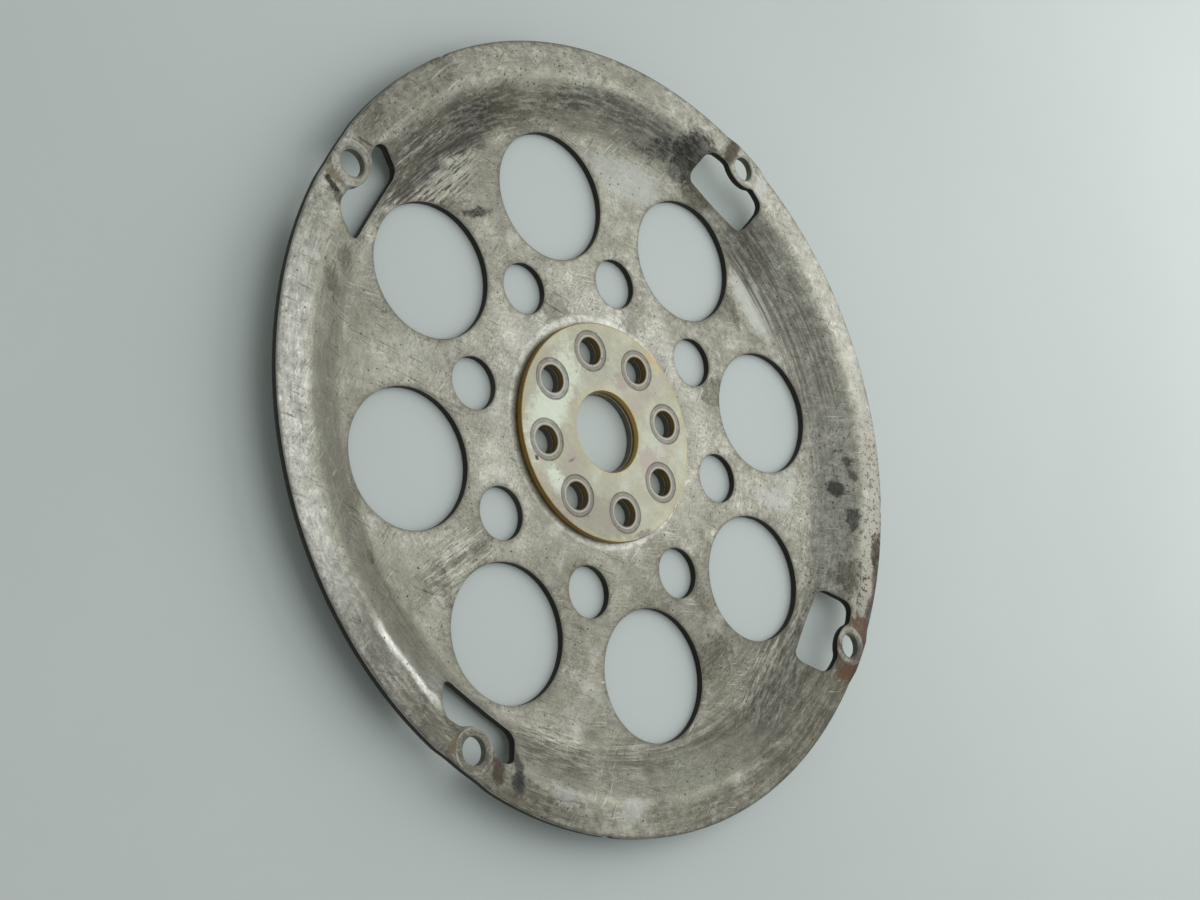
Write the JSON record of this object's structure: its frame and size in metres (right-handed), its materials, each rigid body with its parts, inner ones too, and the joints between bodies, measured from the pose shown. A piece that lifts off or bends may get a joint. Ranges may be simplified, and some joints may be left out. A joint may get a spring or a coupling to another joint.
{
  "type": "flexplate",
  "caption": "Dished steel flexplate with round lightening holes, slots beside raised converter bolt pads, and a plated reinforcing washer over its crank bolt holes.",
  "frame": {"origin": "centre of the back face of the web, on the crank axis", "axes": "+Z along the crank axis towards the torque converter; a large hole lies on +X and a converter pad at 45 degrees between +X and +Y"},
  "size_m": [0.308, 0.308, 0.0155],
  "materials": {
    "bare_sheet_steel": "worn and oil-stained bare sheet steel with grey scratches, dark cut edges and rust at one pad",
    "yellow_zinc": "yellow zinc plating, pale and slightly iridescent, with golden brown edges and grey bolt head marks"
  },
  "bodies": {
    "root": {"drive_plate": "bare_sheet_steel", "reinforcing_washer": "yellow_zinc"}
  },
  "joints": []
}
